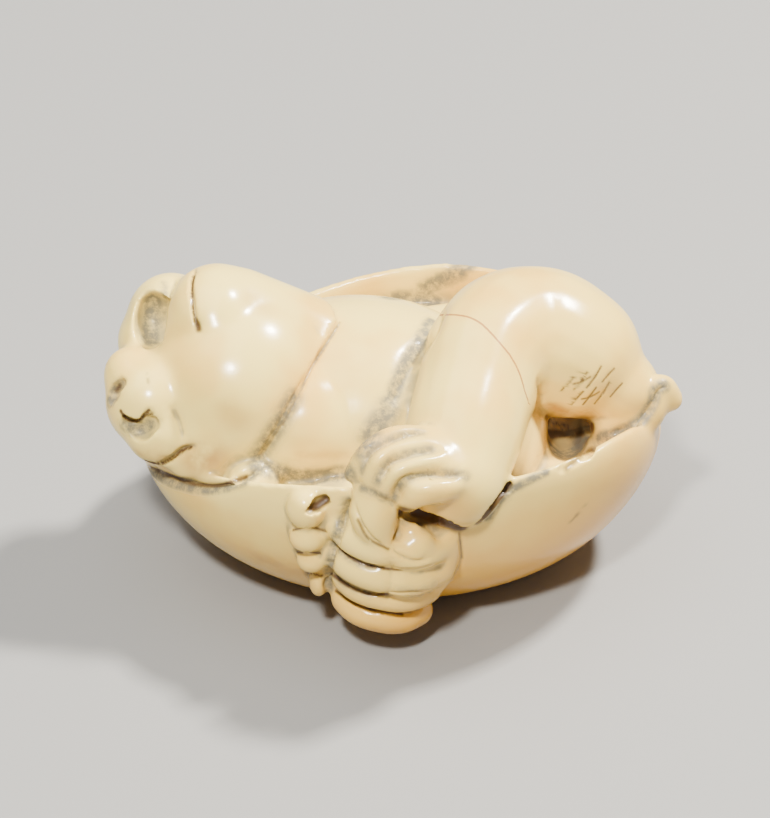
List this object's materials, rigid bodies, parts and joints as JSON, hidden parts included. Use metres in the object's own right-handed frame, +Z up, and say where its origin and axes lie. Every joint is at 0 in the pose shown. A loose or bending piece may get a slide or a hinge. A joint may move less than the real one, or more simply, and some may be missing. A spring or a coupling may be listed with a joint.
{
  "type": "netsuke",
  "caption": "Small polished carving of a snouted animal asleep in a boat-shaped pod, its hands clasped over the near rim; it stands on a small flat under the pod.",
  "frame": {"origin": "middle of the small flat under the pod, which the carving stands on", "axes": "+X along the pod from the animal's snout to the pod's stem, +Y away from the clasped hands, +Z up"},
  "size_m": [0.0475, 0.0352, 0.0262],
  "materials": {
    "ivory": "satin"
  },
  "bodies": {
    "root": {"netsuke": "ivory"}
  },
  "joints": []
}
